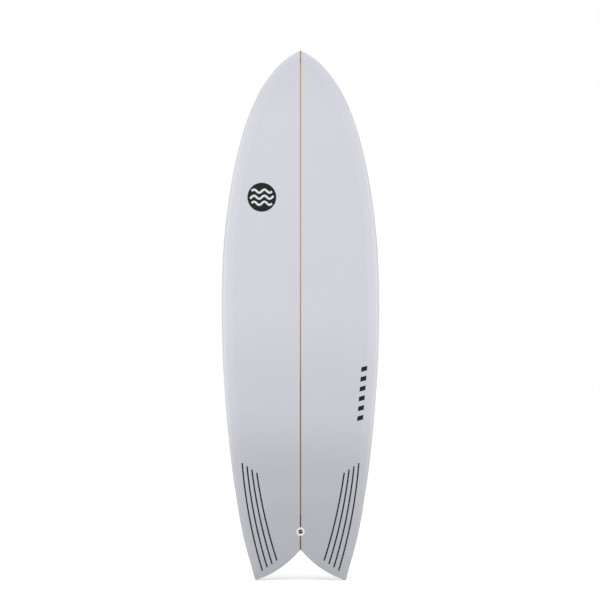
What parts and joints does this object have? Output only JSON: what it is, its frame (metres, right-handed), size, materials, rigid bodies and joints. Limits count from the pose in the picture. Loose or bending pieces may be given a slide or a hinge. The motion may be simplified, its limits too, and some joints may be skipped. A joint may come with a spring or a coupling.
{
  "type": "fish surfboard",
  "caption": "Swallow-tail fish surfboard with a wooden stringer, carbon strips, a leash plug and sprung twin-tab fin boxes.",
  "frame": {"origin": "midway between the two tail tips, on the level they stand on, and midway through the depth that the rocker takes up", "axes": "+Z from tail to nose, -Y out of the deck, +Y out of the bottom, +X to the right as seen from the deck"},
  "size_m": [0.5478, 0.126, 1.829],
  "materials": {
    "foam": "shaped white rigid foam",
    "stringer_wood": "planed pale basswood",
    "dark_hardwood": "dark hardwood",
    "deck_glass": "sanded and polished clear epoxy over glass cloth, white from the foam below",
    "bottom_glass": "sanded and polished clear epoxy over glass cloth, white from the foam below",
    "carbon": "woven carbon tape in clear epoxy",
    "mark_ink": "dark print under clear epoxy",
    "resin": "white filled epoxy",
    "box_plastic": "moulded glass-filled nylon",
    "stainless_steel": "stainless steel",
    "titanium": "turned titanium",
    "rubber": "moulded rubber",
    "plug_plastic": "moulded off-white plastic"
  },
  "bodies": {
    "board": {"foam_right": "foam", "foam_left": "foam", "stringer": "stringer_wood", "tail_insert": "dark_hardwood", "deck_glass": "deck_glass", "bottom_glass": "bottom_glass", "deck_strip_right_1": "carbon", "deck_strip_left_1": "carbon", "deck_strip_right_2": "carbon", "deck_strip_left_2": "carbon", "deck_strip_right_3": "carbon", "deck_strip_left_3": "carbon", "deck_strip_right_4": "carbon", "deck_strip_left_4": "carbon", "bottom_strip_1": "carbon", "bottom_strip_2": "carbon", "bottom_strip_3": "carbon", "bottom_strip_4": "carbon", "bottom_strip_5": "carbon", "deck_mark": "mark_ink", "deck_bars": "mark_ink", "bottom_mark": "mark_ink", "bottom_bars": "mark_ink", "tail_lozenge": "mark_ink", "leash_cup": "plug_plastic", "leash_pin": "stainless_steel", "leash_resin": "resin", "front_right_fin_box": "box_plastic", "front_right_resin": "resin", "front_right_buffer": "rubber", "front_left_fin_box": "box_plastic", "front_left_resin": "resin", "front_left_buffer": "rubber", "rear_right_fin_box": "box_plastic", "rear_right_resin": "resin", "rear_right_buffer": "rubber", "rear_left_fin_box": "box_plastic", "rear_left_resin": "resin", "rear_left_buffer": "rubber"},
    "front_right_nose_end_screw": {"front_right_nose_end_screw": "stainless_steel"},
    "front_right_tail_end_screw": {"front_right_tail_end_screw": "stainless_steel"},
    "front_right_barrel": {"front_right_barrel": "titanium"},
    "front_left_nose_end_screw": {"front_left_nose_end_screw": "stainless_steel"},
    "front_left_tail_end_screw": {"front_left_tail_end_screw": "stainless_steel"},
    "front_left_barrel": {"front_left_barrel": "titanium"},
    "rear_right_nose_end_screw": {"rear_right_nose_end_screw": "stainless_steel"},
    "rear_right_tail_end_screw": {"rear_right_tail_end_screw": "stainless_steel"},
    "rear_right_barrel": {"rear_right_barrel": "titanium"},
    "rear_left_nose_end_screw": {"rear_left_nose_end_screw": "stainless_steel"},
    "rear_left_tail_end_screw": {"rear_left_tail_end_screw": "stainless_steel"},
    "rear_left_barrel": {"rear_left_barrel": "titanium"}
  },
  "joints": [
    {"name": "front_right_nose_end_screw_turn", "type": "hinge", "parent": "board", "child": "front_right_nose_end_screw", "pos_m": [0.18116, 0.03805, 0.40756], "axis": [0.0584, 0.9552, 0.2902], "range_deg": [-990, 0]},
    {"name": "front_right_tail_end_screw_turn", "type": "hinge", "parent": "board", "child": "front_right_tail_end_screw", "pos_m": [0.18285, 0.02767, 0.29344], "axis": [0.0694, 0.8873, -0.4559], "range_deg": [-990, 0]},
    {"name": "front_right_barrel_slide", "type": "slide", "parent": "board", "child": "front_right_barrel", "axis": [0.9975, -0.0673, 0.0209], "range_m": [0, 0.0015], "stiffness_N_per_m": 3000, "springref_m": -0.001, "deforming": ["front_right_buffer"]},
    {"name": "front_left_nose_end_screw_turn", "type": "hinge", "parent": "board", "child": "front_left_nose_end_screw", "pos_m": [-0.18116, 0.03805, 0.40756], "axis": [-0.0584, 0.9552, 0.2902], "range_deg": [-990, 0]},
    {"name": "front_left_tail_end_screw_turn", "type": "hinge", "parent": "board", "child": "front_left_tail_end_screw", "pos_m": [-0.18285, 0.02767, 0.29344], "axis": [-0.0694, 0.8873, -0.4559], "range_deg": [-990, 0]},
    {"name": "front_left_barrel_slide", "type": "slide", "parent": "board", "child": "front_left_barrel", "axis": [-0.9975, -0.0673, 0.0209], "range_m": [0, 0.0015], "stiffness_N_per_m": 3000, "springref_m": -0.001, "deforming": ["front_left_buffer"]},
    {"name": "rear_right_nose_end_screw_turn", "type": "hinge", "parent": "board", "child": "rear_right_nose_end_screw", "pos_m": [0.14808, 0.02612, 0.25686], "axis": [0.0326, 0.9653, 0.2591], "range_deg": [-990, 0]},
    {"name": "rear_right_tail_end_screw_turn", "type": "hinge", "parent": "board", "child": "rear_right_tail_end_screw", "pos_m": [0.14991, 0.0121, 0.14314], "axis": [0.0446, 0.8737, -0.4844], "range_deg": [-990, 0]},
    {"name": "rear_right_barrel_slide", "type": "slide", "parent": "board", "child": "rear_right_barrel", "axis": [0.999, -0.0394, 0.0209], "range_m": [0, 0.0015], "stiffness_N_per_m": 3000, "springref_m": -0.001, "deforming": ["rear_right_buffer"]},
    {"name": "rear_left_nose_end_screw_turn", "type": "hinge", "parent": "board", "child": "rear_left_nose_end_screw", "pos_m": [-0.14808, 0.02612, 0.25686], "axis": [-0.0326, 0.9653, 0.2591], "range_deg": [-990, 0]},
    {"name": "rear_left_tail_end_screw_turn", "type": "hinge", "parent": "board", "child": "rear_left_tail_end_screw", "pos_m": [-0.14991, 0.0121, 0.14314], "axis": [-0.0446, 0.8737, -0.4844], "range_deg": [-990, 0]},
    {"name": "rear_left_barrel_slide", "type": "slide", "parent": "board", "child": "rear_left_barrel", "axis": [-0.999, -0.0394, 0.0209], "range_m": [0, 0.0015], "stiffness_N_per_m": 3000, "springref_m": -0.001, "deforming": ["rear_left_buffer"]}
  ]
}
